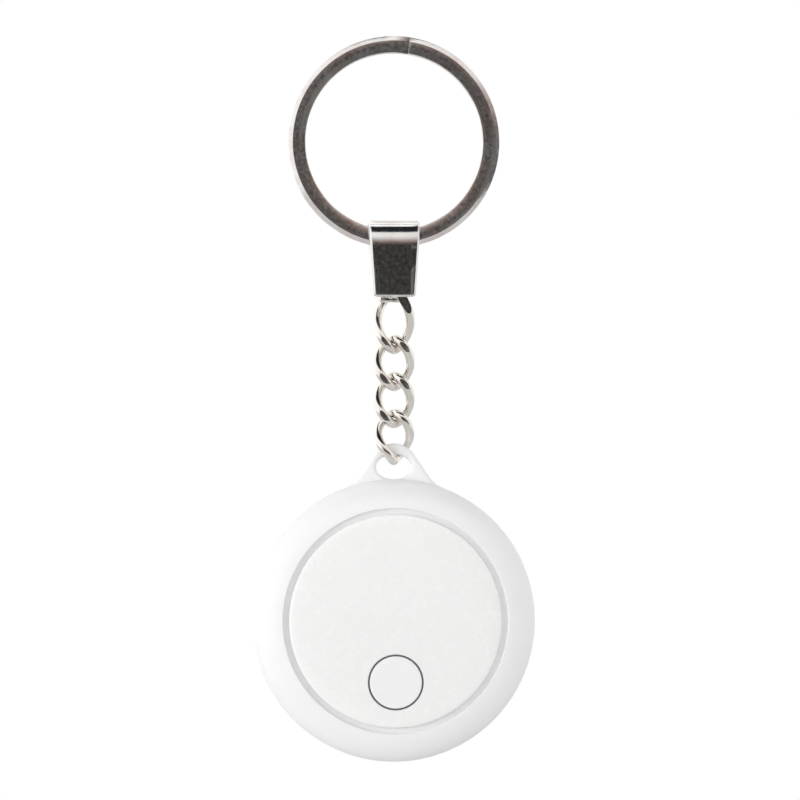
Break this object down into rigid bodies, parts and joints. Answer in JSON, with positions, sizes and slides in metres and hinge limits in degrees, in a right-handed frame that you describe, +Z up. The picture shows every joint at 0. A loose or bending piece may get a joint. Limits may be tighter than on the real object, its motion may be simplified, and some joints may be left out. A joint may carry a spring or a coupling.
{
  "type": "bluetooth tracker tag",
  "caption": "Round white bluetooth tracker tag with a push button and battery door, hung by twisted curb links and a folded clasp from a split key ring.",
  "frame": {"origin": "centre of the key ring", "axes": "+Z up along the hanging chain, -Y out of the tag's face, +X to the right as seen from the front"},
  "size_m": [0.04, 0.0092, 0.1028],
  "materials": {
    "ring_steel": "polished nickel plate on steel",
    "clasp_steel": "polished nickel plate on sheet steel",
    "chain_steel": "polished nickel plate on steel wire",
    "white_plastic": "satin gloss white",
    "face_plastic": "gloss white",
    "button_plastic": "gloss white",
    "grey_silicone": "matte grey silicone",
    "black_rubber": "matte black rubber",
    "board_green": "satin green solder mask",
    "black_plastic": "matte black",
    "cell_steel": "fine brushed stainless",
    "contact_brass": "satin plated spring brass",
    "ceramic_white": "matte white ceramic",
    "ceramic_tan": "matte tan ceramic with tinned ends",
    "led_lens": "clear yellowish resin",
    "tape_amber": "thin amber film"
  },
  "bodies": {
    "ring": {"key_ring": "ring_steel"},
    "clasp": {"clasp": "clasp_steel"},
    "link_1": {"link_1": "chain_steel"},
    "link_2": {"link_2": "chain_steel"},
    "link_3": {"link_3": "chain_steel"},
    "link_4": {"link_4": "chain_steel"},
    "tag": {"front_bezel": "white_plastic", "face_disc": "face_plastic", "button_seal": "grey_silicone", "rear_housing": "white_plastic", "cover_gasket": "black_rubber", "circuit_board": "board_green", "cell_carrier": "black_plastic", "cell_can": "cell_steel", "cell_cap": "cell_steel", "cell_gasket": "black_plastic", "positive_contact": "contact_brass", "negative_contact": "contact_brass", "bluetooth_chip": "black_plastic", "crystal": "cell_steel", "chip_antenna": "ceramic_white", "indicator_led": "led_lens", "capacitors": "ceramic_tan", "switch_base": "black_plastic", "switch_dome": "cell_steel", "switch_frame": "cell_steel", "buzzer_plate": "contact_brass", "buzzer_ceramic": "ceramic_white", "buzzer_tape": "tape_amber", "buzzer_springs": "contact_brass"},
    "button": {"button_cap": "button_plastic", "switch_plunger": "black_plastic"},
    "rear_cover": {"rear_cover": "white_plastic"}
  },
  "joints": [
    {"name": "clasp_round_ring", "type": "hinge", "parent": "ring", "child": "clasp", "pos_m": [0, 0, 0], "axis": [0, 1, 0], "continuous": true},
    {"name": "link_1_swing", "type": "hinge", "parent": "clasp", "child": "link_1", "pos_m": [0, 0, -0.02239], "axis": [1, 0, 0], "range_deg": [-15, 15]},
    {"name": "link_2_swing", "type": "hinge", "parent": "link_1", "child": "link_2", "pos_m": [0, 0, -0.02942], "axis": [0.7071, 0.7071, 0], "range_deg": [-25, 25]},
    {"name": "link_3_swing", "type": "hinge", "parent": "link_2", "child": "link_3", "pos_m": [0, 0, -0.03322], "axis": [0.7071, -0.7071, 0], "range_deg": [-25, 25]},
    {"name": "link_4_swing", "type": "hinge", "parent": "link_3", "child": "link_4", "pos_m": [0, 0, -0.03992], "axis": [0.7071, 0.7071, 0], "range_deg": [-20, 20]},
    {"name": "tag_swing", "type": "hinge", "parent": "link_4", "child": "tag", "pos_m": [0, 0, -0.04517], "axis": [0, 1, 0], "range_deg": [-10, 10]},
    {"name": "button_press", "type": "slide", "parent": "tag", "child": "button", "axis": [0, 1, 0], "range_m": [0, 0.00025], "stiffness_N_per_m": 1500, "springref_m": -0.0008},
    {"name": "rear_cover_off", "type": "slide", "parent": "tag", "child": "rear_cover", "axis": [0, 1, 0], "range_m": [0, 0.012]}
  ]
}
